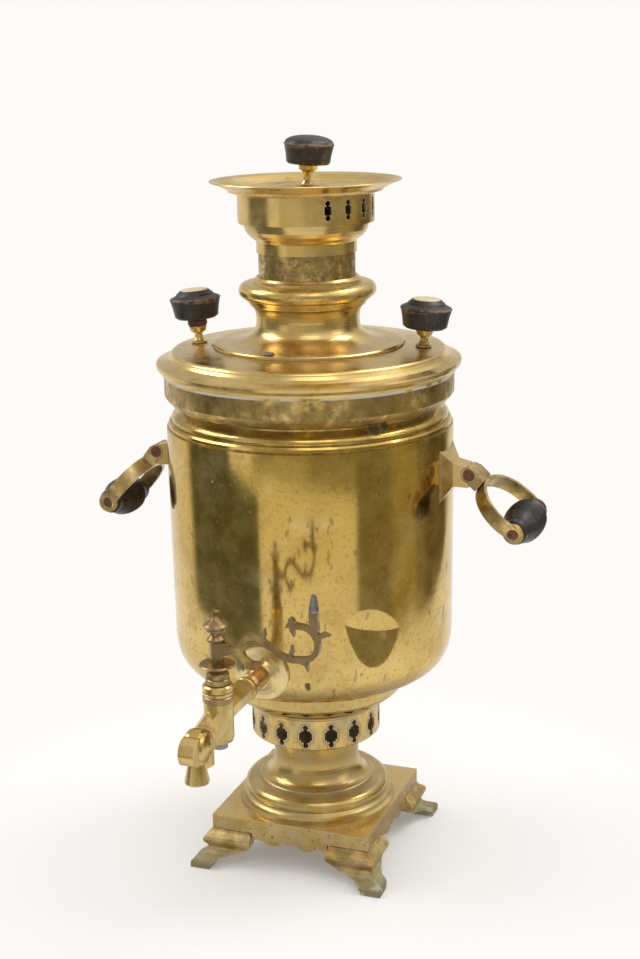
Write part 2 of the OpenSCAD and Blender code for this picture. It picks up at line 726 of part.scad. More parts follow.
// Solid of the tap before its bores are drilled; z is measured from the tap's bore
module tap_casting() {
    shank_end = barrel_reach - 2;
    // round shank with three turned grooves, from inside the body to the octagon
    along_tap(0) turned([
        [0, body_r - 13], [shank_r - seam, body_r - 13], [shank_r - seam, body_r + 20],
        [shank_r - 0.5, body_r + 20.6], [shank_r, body_r + 21.4], [shank_r - 0.5, body_r + 22.4],
        [shank_r + 0.2, body_r + 23.4], [shank_r - 0.5, body_r + 24.6],
        [shank_r + 0.9, body_r + 26], [shank_r + 1, body_r + 28.6], [shank_r, octagon_from],
        [0, octagon_from]]);
    along_tap(-octagon_from) rotate([0, 0, 22.5])
        cylinder(r = (shank_r + 0.4) / cos(22.5), h = shank_end - octagon_from, $fn = 8);
    // barrel
    translate([0, -barrel_reach, tap_z]) turned([
        [0, barrel_low], [barrel_r - 3, barrel_low], [barrel_r - 1, barrel_low + 1],
        [barrel_r - 0.2, barrel_low + 3], [barrel_r - 0.2, barrel_high - 11],
        [barrel_r + 0.3, barrel_high - 10.6], [barrel_r + 0.3, barrel_high - 7.4],
        [barrel_r - 0.5, barrel_high - 6.8], [barrel_r + 0.1, barrel_high - 6.2],
        [barrel_r + 0.2, barrel_high - 4.8],
        [barrel_r - 0.6, barrel_high - 4.3], [barrel_r + 0.2, barrel_high - 3.8],
        [barrel_r + 0.2, barrel_high - 0.8], [barrel_r - 0.7, barrel_high], [0, barrel_high]]);
    // octagonal arm from the barrel to the elbow
    translate([0, -barrel_reach, tap_z - 1.1]) rotate([90 + 14, 0, 0]) rotate([0, 0, 22.5])
        cylinder(r = 8.6, h = nozzle_reach - barrel_reach - 4, $fn = 8);
    // domed elbow, turned about X, with the curl in front of it and a square shank below
    translate([0, -nozzle_reach, tap_z + elbow_z]) {
        rotate([0, 90, 0]) {
            translate([0, 3, 0])
                turned([[0, -8.4], [2, -8.4], [5, -7.6], [8.2, -6.4], [9.6, -5], [10.2, -3],
                    [10.2, 3], [9.6, 5], [8.2, 6.4], [5, 7.6], [2, 8.4], [0, 8.4]]);
            translate([-0.2, -6.4, -4.8]) cylinder(r = 8.4, h = 9.6);
        }
        translate([0, 0, -13]) linear_extrude(14.2) polygon([
            [-7.7, 8.6], [-7.7, 4.6], [-5.5, -0.6], [5.5, -0.6], [7.7, 4.6], [7.7, 8.6],
            [6.9, 9.4], [-6.9, 9.4]]);
    }
    // flared nozzle
    translate([0, -nozzle_reach, tap_z]) turned([
        [0, nozzle_low], [7.1, nozzle_low], [7.5, nozzle_low + 0.8], [5.1, nozzle_low + 12.4],
        [5.1, elbow_z], [0, elbow_z]]);
}

module tap_body() color(bronze) {
    // how far the water passage falls on its way from the plug to the nozzle
    fall = -elbow_z + 0.5;
    difference() {
        tap_casting();
        // tapered seat of the plug and the hole for its tail
        translate([0, -barrel_reach, tap_z]) {
            translate([0, 0, barrel_low + 5])
                cylinder(r1 = plug_low_r, r2 = plug_top_r, h = barrel_high - barrel_low - 5 + 0.001);
            translate([0, 0, barrel_low - past]) cylinder(r = tail_r + run, h = 8);
        }
        // water passage from the body to the elbow, and down the nozzle
        along_tap(-body_r + 16) cylinder(r = passage_r, h = barrel_reach - body_r + 16);
        along_tap(-barrel_reach) rotate([atan(fall / (nozzle_reach - barrel_reach)), 0, 0])
            cylinder(r = passage_r - 0.1, h = norm([nozzle_reach - barrel_reach, fall]) + 1);
        translate([0, -nozzle_reach, tap_z + nozzle_low - past])
            cylinder(r = passage_r + 0.1, h = -nozzle_low - fall + past + 1.6);
        translate([0, -nozzle_reach, tap_z + nozzle_low - past])
            cylinder(r1 = 6.2, r2 = passage_r + 0.1, h = 11);
    }
}

// Inner radius of the body at a height above its lower edge, where the bowl rounds in
function inner_r(z) =
    let (rise = max(0, bowl_centre[1] - z) / (bowl_centre[1] - bowl_bottom - sheet))
    bowl_centre[0] + (body_r - 0.7 - sheet - bowl_centre[0])
        * pow(1 - pow(rise, bowl_power), 1 / bowl_power);

// where the washer bears on the curved inside of the body: at its sides or at its lower edge
washer_thick = 1.3;
washer_r = shank_r + 5;
washer_seat = min(sqrt(pow(body_r - sheet, 2) - pow(washer_r, 2)),
    inner_r(tap_z - body_z - washer_r) - 0.1) - seam - washer_thick;

module tap_washer() color("saddlebrown") {
    along_tap(-washer_seat) tube(washer_r, shank_r + 0.1, washer_thick);
}

module tap_nut() color(bronze) {
    along_tap(-washer_seat + seam + 4.2) difference() {
        cylinder(r = shank_r + 4.6, h = 4.2, $fn = 6);
        translate([0, 0, -past]) cylinder(r = shank_r, h = 8);
    }
}

// heights on the key, measured from the tap's bore
key_disc = 32.4;
stem_low = 33.8;
stem_high = 46.4;
key_stem_r = 4.2;

module tap_plug() color(bronze) {
    taper = (plug_top_r - plug_low_r) / (barrel_high - barrel_low - 5);
    low = barrel_low + 5.4;
    translate([0, -barrel_reach, tap_z]) difference() {
        union() {
            turned([
                [0, barrel_low - 4.6], [tail_r, barrel_low - 4.6], [tail_r, low],
                [plug_low_r + 0.4 * taper - run, low], [plug_top_r - run, barrel_high],
                [plug_top_r - run, barrel_high + gap], [7.2, barrel_high + gap],
                [7.3, barrel_high + 3.4], [6.6, barrel_high + 4], [7.1, barrel_high + 4.5],
                [7.1, barrel_high + 6.2], [6.3, barrel_high + 7.4], [4.6, barrel_high + 9],
                [4.4, barrel_high + 10.4], [6.5, key_disc - 1.6], [10.6, key_disc - 0.9],
                [11, key_disc - 0.2], [10.2, key_disc + 0.4], [5, stem_low], [0, stem_low]]);
            translate([0, 0, stem_low]) rotate([0, 0, 22.5])
                cylinder(r = key_stem_r, h = stem_high - stem_low, $fn = 8);
            turned([
                [0, stem_high], [4.6, stem_high], [5.7, stem_high + 1.4], [5.5, stem_high + 2.2],
                [3.4, stem_high + 4.6], [3.3, stem_high + 6.2], [5.8, stem_high + 7.2],
                [6, stem_high + 8.4], [7.2, stem_high + 9.4], [7.7, stem_high + 10.6],
                [6.6, stem_high + 11.8], [3.4, stem_high + 13.6], [1.9, stem_high + 15.6],
                [1.8, stem_high + 17], [2.7, stem_high + 18.4], [2.6, stem_high + 19],
                [0, stem_high + 18.6]]);
        }
        // cross bore: it lies across the tap when the key is closed
        rotate([0, 90, 0]) cylinder(r = passage_r - 0.2, h = 30, center = true);
    }
}

module plug_washer() color("dimgray") {
    translate([0, -barrel_reach, tap_z + barrel_low - gap - 3.4]) tube(4.8, tail_r + seam, 3.4);
}

// Band of changing width along a path: each entry is [x, z, half width]
function band_normal(p, i) =
    let (a = p[max(i - 1, 0)], b = p[min(i + 1, len(p) - 1)], d = [b[0] - a[0], b[1] - a[1]])
    [-d[1], d[0]] / norm(d);
function band_side(p, side) =
    [for (i = [0:len(p) - 1]) let (n = band_normal(p, i))
        [p[i][0], p[i][1]] + side * p[i][2] * n];
module band(p) {
    polygon(concat(band_side(p, 1), backwards(band_side(p, -1))));
}
// Path of an arc whose half width runs from w0 to w1
function arc_path(centre, r, a0, a1, w0, w1, steps) =
    [for (i = [0:steps]) let (t = i / steps, a = a0 + (a1 - a0) * t)
        [centre[0] + r * cos(a), centre[1] + r * sin(a), w0 + (w1 - w0) * t]];

// centres of the scroll's eye and of its large hook, from the plug's axis and the tap's bore
eye = [24.4, 43.8];
eye_r = 8.6;
hook_r = 10.4;
hook = [key_reach - 12.1, 51.6];

// The key's scroll, drawn in the plane of X and Z about the plug's axis and the tap's bore
module scroll_outline() {
    // boss on the stem, neck and eye
    band([[3.2, 42.4, 3.8], [6.8, 42.4, 3.9], [8.6, 42.4, 2.6]]);
    band([[7, 42.4, 2.4], [9, 42.4, 2.3], [14, 42.2, 2], [17.4, 41.4, 1.7]]);
    band(arc_path(eye, eye_r, 196, 40, 1.7, 1.9, 18));
    band(concat(arc_path(eye, eye_r, 186, 300, 1.7, 1.2, 12), [[29.8, 39.4, 0.3]]));
    // stem of the vine from the eye to the hook
    band(concat(arc_path(eye, eye_r, 58, 34, 1.6, 1.8, 4),
        [[36, 46.4, 1.7], [40, 43.2, 1.7], [44.4, 41.4, 1.8], [49.2, 40.8, 1.8]],
        arc_path(hook, hook_r, 264, 456, 1.8, 1.5, 26), [[hook[0] - 5.2, 62.4, 2]]));
    // head, beak, jaw and crest at the hook's end
    band([[hook[0] - 3, 62.2, 1.8], [hook[0] - 5.4, 63.1, 2.8], [hook[0] - 7.2, 62.2, 1.5],
        [hook[0] - 9.2, 60.4, 0.2]]);
    band([[hook[0] - 4.6, 62.6, 2.2], [hook[0] - 5, 59.2, 1.5], [hook[0] - 3.8, 55.4, 0.2]]);
    band([[hook[0] - 4.4, 63.4, 1.3], [hook[0] - 5.7, 65.3, 1.7], [hook[0] - 6.9, 66.4, 0.9]]);
    // leaves
    band([[29, 51, 1.5], [31, 54, 1.1], [31.2, 58, 0.2]]);
    band([[46.4, 41.6, 1.6], [48.2, 45.4, 1.1], [48.3, 49.8, 0.2]]);
    band([[key_reach - 3, 55, 1.8], [key_reach + 2.8, 58.8, 1.4], [key_reach + 6.4, 58.2, 0.2]]);
    band([[49, 40.6, 1.2], [54, 40.4, 1.3], [57.4, 38.6, 1], [58.3, 34.6, 0.2]]);
    band([[17.6, 38.4, 1], [20, 33.8, 2.2], [24.4, 33.4, 1.9], [27.2, 35.8, 0.5]]);
    // spear that carries the tip
    band([[key_reach - 2.2, 54, 1], [key_reach - 3, 61, 2.2], [key_reach - 3.8, 66, 2.5],
        [key_reach - 3.8, 71.6, 2.7]]);
}

module key_scroll() color(bronze) {
    translate([0, -barrel_reach, tap_z]) rotate([90, 0, 0])
        difference() {
            linear_extrude(scroll_thick, center = true) scroll_outline();
            rotate([-90, 0, 0]) translate([0, 0, stem_low]) rotate([0, 0, 22.5])
                cylinder(r = key_stem_r + seam, h = stem_high - stem_low, $fn = 8);
        }
}

module key_tip() color("gray") {
    translate([key_reach - 3.8, -barrel_reach, tap_z + 71.6 + seam]) turned([
        [0, 0], [2.8, 0], [3.1, 0.8], [2.9, 2.4], [1.9, 8.6], [1.2, 10.6], [0, 11.2]]);
}

// ---- handles ----

lug_half = 8.4;
lug_root = 7.3;
lug_tip = 4.8;
tongue_half = 2.6;
cheek_r = 5;
fork_end = 10;
grip_pin_r = 2;
eye_disc_r = 6.9;
eye_y = grip_length / 2 + gap + strip_thick / 2;
bow_centre = grip_reach - sqrt(pow(bow_r, 2) - pow(eye_y, 2));

function droop(side) = side < 0 ? droop_left : droop_right;
function twist(side) = side < 0 ? twist_left : twist_right;

module both_sides(side) {
    mirror([side < 0 ? 1 : 0, 0, 0]) children();
}

// Places children so that +X runs from the hinge along the drooping handle
module on_handle(side) {
    both_sides(side) translate([hinge_reach, 0, hinge_z])
        rotate([0, droop(side), 0]) children();
}

// Cast bracket: a square pyramid soldered to the body, a lug and the hinge's tongue
module bracket(side) color(brass) {
    base_half = 17.3;
    end_x = hinge_reach - 10.6;
    foot_x = sqrt(pow(body_r, 2) - pow(hinge_width, 2));
    both_sides(side) difference() {
        union() {
            hull() {
                translate([body_r - 10, -hinge_width, hinge_z - 0.7 - base_half])
                    cube([foot_x - body_r + 10, 2 * hinge_width, 2 * base_half]);
                translate([end_x - 0.1, -hinge_width / 2, hinge_z - lug_half])
                    cube([0.1, hinge_width, lug_half + lug_root]);
            }
            difference() {
                translate([0, 0, hinge_z]) rotate([90, 0, 0])
                    linear_extrude(hinge_width, center = true) polygon([
                        [body_r - 6, -lug_half], [hinge_reach - gap, -lug_half],
                        [hinge_reach - gap, lug_tip], [end_x, lug_root], [body_r - 6, lug_root]]);
                for (y = [-1, 1])
                    translate([hinge_reach, y * (tongue_half + hinge_width / 2), hinge_z])
                        cross_pin(cheek_r + gap, hinge_width);
            }
            translate([hinge_reach, 0, hinge_z]) cross_pin(cheek_r, 2 * tongue_half);
            translate([hinge_reach - cheek_r, -tongue_half, hinge_z - cheek_r])
                cube([cheek_r, 2 * tongue_half, 2 * cheek_r]);
        }
        cylinder(r = body_r + seam, h = rim_z);
        translate([hinge_reach, 0, hinge_z]) cross_pin(rivet_r + run, hinge_width * 2);
    }
}
module bracket_right() bracket(1);
module bracket_left() bracket(-1);

// Moving half of the hinge: two round cheeks and a block that the bow is brazed to.
// Its lower shoulder stands plumb at rest, its upper one when the handle is level.
module handle_fork(side) color(brass) {
    low = strip_width / 2 + 0.4;
    shoulder = gap + 0.05;
    slot = 2 * (tongue_half + gap);
    on_handle(side) difference() {
        union() {
            rotate([90, 0, 0]) linear_extrude(hinge_width, center = true) polygon([
                [shoulder, 0], [shoulder, lug_tip + 0.8], [fork_end - 2, lug_tip + 0.5],
                [fork_end, low - 0.6], [fork_end, -low], [shoulder + low * tan(droop(side)), -low],
                [shoulder + 0.1, -0.05]]);
            cross_pin(cheek_r, hinge_width);
        }
        cross_pin(cheek_r + gap, slot);
        translate([-cheek_r - past, -slot / 2, -cheek_r - past])
            cube([cheek_r + past, slot, 2 * (cheek_r + past)]);
        cross_pin(rivet_r + seam, hinge_width * 2);
        rotate([twist(side), 0, 0]) translate([bow_centre, 0, 0])
            cylinder(r = bow_r + strip_thick / 2 + seam, h = 3 * strip_width, center = true);
    }
}
module handle_fork_right() handle_fork(1);
module handle_fork_left() handle_fork(-1);

module on_bow(side) {
    on_handle(side) rotate([twist(side), 0, 0]) children();
}

module handle_bow(side) color(brass) {
    outer = bow_r + strip_thick / 2;
    inner = bow_r - strip_thick / 2;
    on_bow(side) difference() {
        union() {
            intersection() {
                translate([bow_centre, 0, -strip_width / 2]) tube(outer, inner, strip_width);
                translate([0, -outer - past, -strip_width])
                    cube([grip_reach, 2 * (outer + past), 2 * strip_width]);
            }
            for (y = [-1, 1])
                translate([grip_reach, y * eye_y, 0]) cross_pin(eye_disc_r, strip_thick);
        }
        translate([grip_reach, 0, 0]) cross_pin(grip_pin_r + seam, 4 * bow_r);
        translate([grip_reach, 0, 0]) cross_pin(eye_disc_r + past, grip_length + 2 * gap);
        // flat seats of the rivet's heads
        for (y = [-1, 1])
            translate([grip_reach, y * (eye_y + strip_thick / 2 + 2), 0])
                cross_pin(grip_pin_r + 1.4 + gap, 4);
    }
}
module handle_bow_right() handle_bow(1);
module handle_bow_left() handle_bow(-1);

// Rivet with a low round head outside each cheek or eye
module rivet(r, length, head_r, head) {
    rotate([90, 0, 0]) {
        cylinder(r = r, h = length + head, center = true);
        for (end = [0, 180])
            rotate([end, 0, 0]) translate([0, 0, length / 2 + seam])
                cylinder(r1 = head_r, r2 = head_r - head / 2, h = head);
    }
}
module hinge_pin(side) color("saddlebrown") {
    on_handle(side) rivet(rivet_r, hinge_width, rivet_r + 1.5, 0.7);
}
module hinge_pin_right() hinge_pin(1);
module hinge_pin_left() hinge_pin(-1);

module grip_pin(side) color("saddlebrown") {
    on_bow(side) translate([grip_reach, 0, 0])
        rivet(grip_pin_r, grip_length + 2 * (gap + strip_thick), grip_pin_r + 1.4, 0.7);
}
module grip_pin_right() grip_pin(1);
module grip_pin_left() grip_pin(-1);

// Turned barrel with fine grooves round its middle
module grip(side) color(wood) {
    half = grip_length / 2;
    bore = grip_pin_r + run;
    grooves = 8;
    pitch = 2.1;
    middle = [for (i = [0:2 * grooves]) let (z = (i - grooves) * pitch / 2)
        [grip_r - 0.9 * pow(z / (grooves * pitch / 2), 2) - (i % 2 == 1 ? 0.6 : 0), z]];
    on_bow(side) translate([grip_reach, 0, 0]) rotate([90, 0, 0]) turned(concat(
        [[bore, -half], [7.4, -half], [8.2, 0.8 - half], [8.4, 4.6 - half], [9.2, 6 - half],
         [grip_r - 1.9, 10.4 - half]],
        middle,
        [[grip_r - 1.9, half - 10.4], [9.2, half - 6], [8.4, half - 4.6], [8.2, half - 0.8],
         [7.4, half], [bore, half]]));
}
module grip_right() grip(1);
module grip_left() grip(-1);

// ---- the assembly ----

base_plate();
foot_front_right();
foot_front_left();
foot_back_right();
foot_back_left();
foot_screws();
pedestal();
air_ring();
body_shell();
rim_ring();
firebox_tube();
chimney_pipe();
grate();
bracket_right();
bracket_left();
escutcheon();
tap_body();
tap_washer();
tap_nut();
tap_plug();
plug_washer();
key_scroll();
key_tip();
handle_fork_right();
handle_fork_left();
handle_bow_right();
handle_bow_left();
hinge_pin_right();
hinge_pin_left();
grip_pin_right();
grip_pin_left();
grip_right();
grip_left();
lid_plate();
lid_flare();
lid_torus();
steam_vent();
lid_stem_right();
lid_stem_left();
lid_knob_right();
knob_collar();
lid_knob_left();
knob_disc_right();
knob_disc_left();
stem_nuts();
crown_cup();
crown_tray();
cap_plate();
cap_stem();
cap_knob();
cap_nut();
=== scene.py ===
import math

import bpy
from mathutils import Matrix, Vector


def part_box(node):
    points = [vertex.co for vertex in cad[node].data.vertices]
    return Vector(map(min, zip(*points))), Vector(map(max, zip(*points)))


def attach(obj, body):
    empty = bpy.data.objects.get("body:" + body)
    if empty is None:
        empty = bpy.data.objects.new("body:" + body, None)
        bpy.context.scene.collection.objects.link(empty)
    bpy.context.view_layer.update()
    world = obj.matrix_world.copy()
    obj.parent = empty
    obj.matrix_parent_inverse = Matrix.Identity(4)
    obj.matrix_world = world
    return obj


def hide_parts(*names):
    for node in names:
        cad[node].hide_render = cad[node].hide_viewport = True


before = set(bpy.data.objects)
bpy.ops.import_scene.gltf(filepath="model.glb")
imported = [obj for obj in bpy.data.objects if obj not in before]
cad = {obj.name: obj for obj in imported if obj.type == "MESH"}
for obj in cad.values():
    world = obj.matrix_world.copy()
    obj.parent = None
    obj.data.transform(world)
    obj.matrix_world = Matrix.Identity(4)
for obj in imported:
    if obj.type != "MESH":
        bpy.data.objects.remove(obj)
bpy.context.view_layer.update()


# ---- base plate ----
# The square cast plate that carries everything: brass, with a pitted skirt and a wavy
# lower edge. The four feet are screwed up into its corners from below.


class Wire:
    """An output socket of a shader node, for writing shader sums as plain arithmetic."""

    def __init__(self, graph, socket):
        self.graph, self.socket = graph, socket

    def sum(self, operation, *terms):
        return self.graph.node("Math", dict(enumerate(terms)), operation=operation)

    def __add__(self, other):
        return self.sum("ADD", self, other)

    def __sub__(self, other):
        return self.sum("SUBTRACT", self, other)

    def __rsub__(self, other):
        return self.sum("SUBTRACT", other, self)

    def __mul__(self, other):
        return self.sum("MULTIPLY", self, other)

    def __truediv__(self, other):
        return self.sum("DIVIDE", self, other)

    def __rtruediv__(self, other):
        return self.sum("DIVIDE", other, self)

    def __pow__(self, other):
        return self.sum("POWER", self, other)

    def __abs__(self):
        return self.sum("ABSOLUTE", self)

    __radd__ = __add__
    __rmul__ = __mul__

    def least(self, other):
        return self.sum("MINIMUM", self, other)

    def most(self, other):
        return self.sum("MAXIMUM", self, other)

    def step(self, low, high):
        """0 below low, 1 above high, and a soft S between them."""
        return self.graph.node(
            "MapRange",
            {"Value": self, "From Min": low, "From Max": high},
            interpolation_type="SMOOTHSTEP",
        )

    def within(self, middle, half, soft):
        """1 where this is within half of middle, fading over soft beyond it."""
        return 1 - abs(self - middle).step(half, half + soft)

    def blend(self, below, above):
        """The colour below where this is 0 and above where it is 1."""
        return self.graph.node(
            "Mix", {0: self, 6: below, 7: above}, out=2, data_type="RGBA"
        )


class Graph:
    """The node tree of a material or of the world."""

    def __init__(self, owner):
        owner.use_nodes = True
        self.tree = owner.node_tree
        self.tree.nodes.clear()

    def node(self, kind, values=None, out=0, **settings):
        made = self.tree.nodes.new("ShaderNode" + kind)
        for key, value in settings.items():
            setattr(made, key, value)
        for key, value in (values or {}).items():
            if isinstance(value, Wire):
                self.tree.links.new(value.socket, made.inputs[key])
            elif isinstance(value, tuple) and len(value) == 3 and key in (6, 7):
                made.inputs[key].default_value = (*value, 1)
            else:
                made.inputs[key].default_value = value
        return Wire(self, made.outputs[out]) if len(made.outputs) else made


class Finish(Graph):
    """A material that is built up coat by coat, in the frame's coordinates."""

    def __init__(self, name, colour, rough, metal=1.0):
        self.material = bpy.data.materials.new(name)
        super().__init__(self.material)
        self.place = self.node("TexCoord", out="Object")
        self.x, self.y, self.z = (
            self.node("SeparateXYZ", {0: self.place}, out=i) for i in range(3)
        )
        self.colour, self.rough, self.metal = colour, rough, metal
        self.height = None

    def noise(self, scale, detail=4, stretch=(1, 1, 1), shift=0.0, rough=0.55):
        moved = self.node(
            "VectorMath", {0: self.place, 1: stretch}, operation="MULTIPLY"
        )
        moved = self.node("VectorMath", {0: moved, 1: (shift,) * 3}, operation="ADD")
        return self.node(
            "TexNoise",
            {"Vector": moved, "Scale": scale, "Detail": detail, "Roughness": rough},
        )

    def radius(self, x=0.0, y=0.0):
        return ((self.x - x) ** 2 + (self.y - y) ** 2) ** 0.5

    def bearing(self):
        """Angle round the axis in radians, 0 towards the tap and growing to the right."""
        return self.node("Math", {0: self.x, 1: 0 - self.y}, operation="ARCTAN2")

    def coat(self, mask, colour, rough=None, metal=None):
        """Lays a colour over what is there, where the mask is 1."""
        self.colour = mask.blend(self.colour, colour)
        if rough is not None:
            self.rough = mask * (rough - self.rough) + self.rough
        if metal is not None:
            self.metal = mask * (metal - self.metal) + self.metal

    def press(self, height):
        """Adds a relief, in metres."""
        self.height = height if self.height is None else self.height + height

    def corners(self, reach):
        """1 in tight corners and grooves, 0 on open surfaces."""
        seen = self.node("AmbientOcclusion", {"Distance": reach}, out="AO", samples=4)
        return 1 - seen

    def lay(self, *names, pieces=()):
        """Ends the material and gives it to CAD nodes and to other pieces."""
        values = {
            "Base Color": self.colour
            if isinstance(self.colour, Wire)
            else (*self.colour, 1),
            "Roughness": self.rough,
            "Metallic": self.metal,
        }
        if self.height is not None:
            values["Normal"] = self.node("Bump", {"Height": self.height, "Distance": 1})
        surface = self.node("BsdfPrincipled", values)
        self.node("OutputMaterial", {"Surface": surface})
        for piece in [cad[n] for n in names] + list(pieces):
            piece.data.materials.clear()
            piece.data.materials.append(self.material)


# Linear colours: brass from clean to deeply stained, and what settles on and in it. The two
# stain browns also serve as painted shade in tight corners and round pierced holes.
CLEAN = (0.76, 0.54, 0.185)
GOLDEN = (0.63, 0.43, 0.13)
STAINED_AND_SHADE = (0.30, 0.215, 0.08)
DEEP_STAIN_AND_SHADE = (0.12, 0.08, 0.035)
LIME = (0.42, 0.40, 0.31)
PIT = (0.05, 0.035, 0.02)
HAZE = (0.47, 0.405, 0.27)


def brass(
    name, rough=0.17, stain=0.35, pits=0.3, lime=0.5, ripple=6e-5, haze=0.16, shift=0.0
):
    """Old polished sheet brass: clouded, speckled, with dull deposits in its grooves and
    dark grime with painted shade in its tightest corners.
    """
    made = Finish(name, CLEAN, rough)
    cloud = made.noise(24, 5, shift=shift)
    fine = made.noise(190, 5, shift=shift + 3)
    speck = made.noise(560, 2, shift=shift + 7)
    made.coat(cloud.step(0.35, 0.62) * 0.8, GOLDEN, rough + 0.05)
    dulled = made.noise(75, 6, shift=shift + 5).step(0.34, 0.66) * haze * 2
    made.coat(dulled, HAZE, 0.4, 0.35)
    mottle = (cloud * 0.4 + fine * 0.6).step(0.60 - 0.2 * stain, 0.76 - 0.2 * stain)
    made.coat(mottle * (0.35 + 0.6 * stain), STAINED_AND_SHADE, rough + 0.18)
    made.coat(speck.step(0.77 - 0.12 * pits, 0.82 - 0.12 * pits) * 0.8, PIT, 0.6, 0.4)
    corner = (made.corners(0.004) + fine * 0.5 - 0.25).step(0.30, 0.75)
    made.coat(corner * lime, LIME, 0.7, 0.35)
    # Painted shade, partly grime: the darkest stain colour is laid where occlusion is
    # deepest, in the tightest corners.
    made.coat(made.corners(0.0022).step(0.72, 0.95) * 0.6, DEEP_STAIN_AND_SHADE, 0.8, 0.2)
    made.press(cloud * ripple + fine * 5e-6)
    return made


SKIRT_TOP_Z = 0.035
plate = brass("plate brass", rough=0.22, stain=0.15, pits=0.4, haze=0.26, shift=1.3)
skirt = 1 - plate.z.step(SKIRT_TOP_Z - 0.0005, SKIRT_TOP_Z + 0.0005)
casting_pits = plate.noise(330, 4, shift=5).step(0.60, 0.66)
plate.coat(skirt * casting_pits * 0.8, DEEP_STAIN_AND_SHADE, 0.6, 0.5)
plate.coat(skirt * plate.noise(60, 4).step(0.45, 0.62) * 0.6, (0.46, 0.34, 0.15), 0.34)
plate.lay("base_plate")


# ---- feet ----
# Four cast bracket feet in a stepped ogee, filed and never polished below, with the toes
# gone grey-green where they stand on wet trays.

TIDE_Z = (0.004, 0.017)
foot = brass(
    "cast foot brass", rough=0.26, stain=0.65, pits=0.6, lime=0.7, haze=0.2, shift=9.0
)
worn = foot.noise(140, 5, shift=2)
toes = 1 - (foot.z + (worn - 0.5) * 0.012).step(*TIDE_Z)
foot.coat(toes * 0.85, (0.21, 0.21, 0.145), 0.5, 0.5)
foot.coat(toes * worn.step(0.55, 0.62) * 0.8, (0.40, 0.41, 0.35), 0.8, 0.1)
foot.coat(foot.noise(85, 5, shift=6).step(0.44, 0.60) * 0.6, (0.30, 0.22, 0.09), 0.32)
foot.press(foot.noise(420, 3) * 6e-5)
foot.lay("foot_front_right", "foot_front_left", "foot_back_right", "foot_back_left")


# ---- pedestal and air ring ----
# Spun sheet brass on the plate: a stepped moulding, a waist, and over it the ring whose
# pierced crosses let air in under the grate. The punch left a pale raised edge round each.

WAIST_Z, STEPS_TOP_Z = 0.066, (0.052, 0.062)
STEP_GROOVES_Z = (0.0418, 0.0515, 0.0534)
pedestal = brass(
    "pedestal brass", rough=0.17, stain=0.25, lime=0.35, haze=0.18, shift=4.1
)
# Painted dark reflection: a brown band darkens the waist's cove where it shows dark
# reflections.
waist = pedestal.z.within(WAIST_Z, 0.006, 0.008)
pedestal.coat(waist * 0.5, (0.36, 0.25, 0.09), 0.2)
steps = 1 - pedestal.z.step(*STEPS_TOP_Z)
dull = pedestal.noise(40, 5).step(0.3, 0.6)
pedestal.coat(steps * dull * 0.6, (0.34, 0.26, 0.10), 0.24)
for height in STEP_GROOVES_Z:
    band = pedestal.z.within(height, 0.0005, 0.0009)
    pedestal.coat(band * 0.25, LIME, 0.7, 0.3)
pedestal.lay("pedestal")


def box_distance(u, v, half_u, half_v):
    """Distance outside a rectangle, as a square ring would measure it."""
    return (abs(u) - half_u).most(abs(v) - half_v)


def edge_line(made, distance, width, lift):
    """A pale raised line that runs round a pierced hole, with a painted shadow ring just
    outside it.
    """
    line = distance.within(width / 2, width / 2, width * 0.35)
    made.coat(line * 0.55, (0.50, 0.45, 0.30), 0.45, 0.6)
    # Painted shadow: a darker stain-brown ring just outside the raised line.
    shadow = distance.within(width * 1.5, width * 0.3, width * 0.4)
    made.coat(shadow * 0.5, STAINED_AND_SHADE, 0.5)
    made.press(line * lift)


AIR_HOLES = 16
AIR_R = 0.0446
AIR_HOLE_Z = 0.0971
CROSS_BARS = ((0.0044, 0.0028), (0.0031, 0.0043), (0.0015, 0.0080))
air = brass("air ring brass", rough=0.22, stain=0.4, pits=0.5, haze=0.32, shift=6.6)
share = air.bearing() * (AIR_HOLES / math.tau)
across = (share - share.sum("FLOOR", share) - 0.5) * (math.tau / AIR_HOLES * AIR_R)
up = air.z - AIR_HOLE_Z
hole = box_distance(across, up, *CROSS_BARS[0])
for half_across, half_up in CROSS_BARS[1:]:
    hole = hole.least(box_distance(across, up, half_across, half_up))
edge_line(air, hole, 0.0008, 1.5e-4)
air.lay("air_ring")


# ---- water body ----
# A straight cylinder of rolled sheet brass, with a bowl and a spun ring below, turned
# mouldings at the shoulder and one deep dent low on the right. It is drawn again here
# because its bowl is shallower than the solid's. The ring under it rests on the air ring.


def oval(centre, half_wide, half_high, power, start=4, steps=28):
    """A quarter oval from start degrees past its lowest point to its outermost one."""
    points = []
    for i in range(steps + 1):
        angle = math.radians(270 + start + (90 - start) * i / steps)
        wide, high = abs(math.cos(angle)), abs(math.sin(angle))
        out = half_wide * wide ** (2 / power)
        points.append((centre[0] + out, centre[1] - half_high * high ** (2 / power)))
    return points


def lathe(name, profile, base, turns=240, crease=32):
    """A closed profile of radii and heights in millimetres, turned round the axis."""
    count = len(profile)
    verts, faces = [], []
    for k in range(turns):
        angle = math.tau * k / turns
        here, beside = k * count, (k + 1) % turns * count
        for i, (radius, height) in enumerate(profile):
            across, along = radius * math.cos(angle), radius * math.sin(angle)
            verts.append((across / 1000, along / 1000, (height + base) / 1000))
            after = (i + 1) % count
            faces.append((here + i, beside + i, beside + after, here + after))
    mesh = bpy.data.meshes.new(name)
    mesh.from_pydata(verts, [], faces)
    mesh.shade_smooth()
    mesh.set_sharp_from_angle(angle=math.radians(crease))
    made = bpy.data.objects.new(name, mesh)
    bpy.context.scene.collection.objects.link(made)
    return made


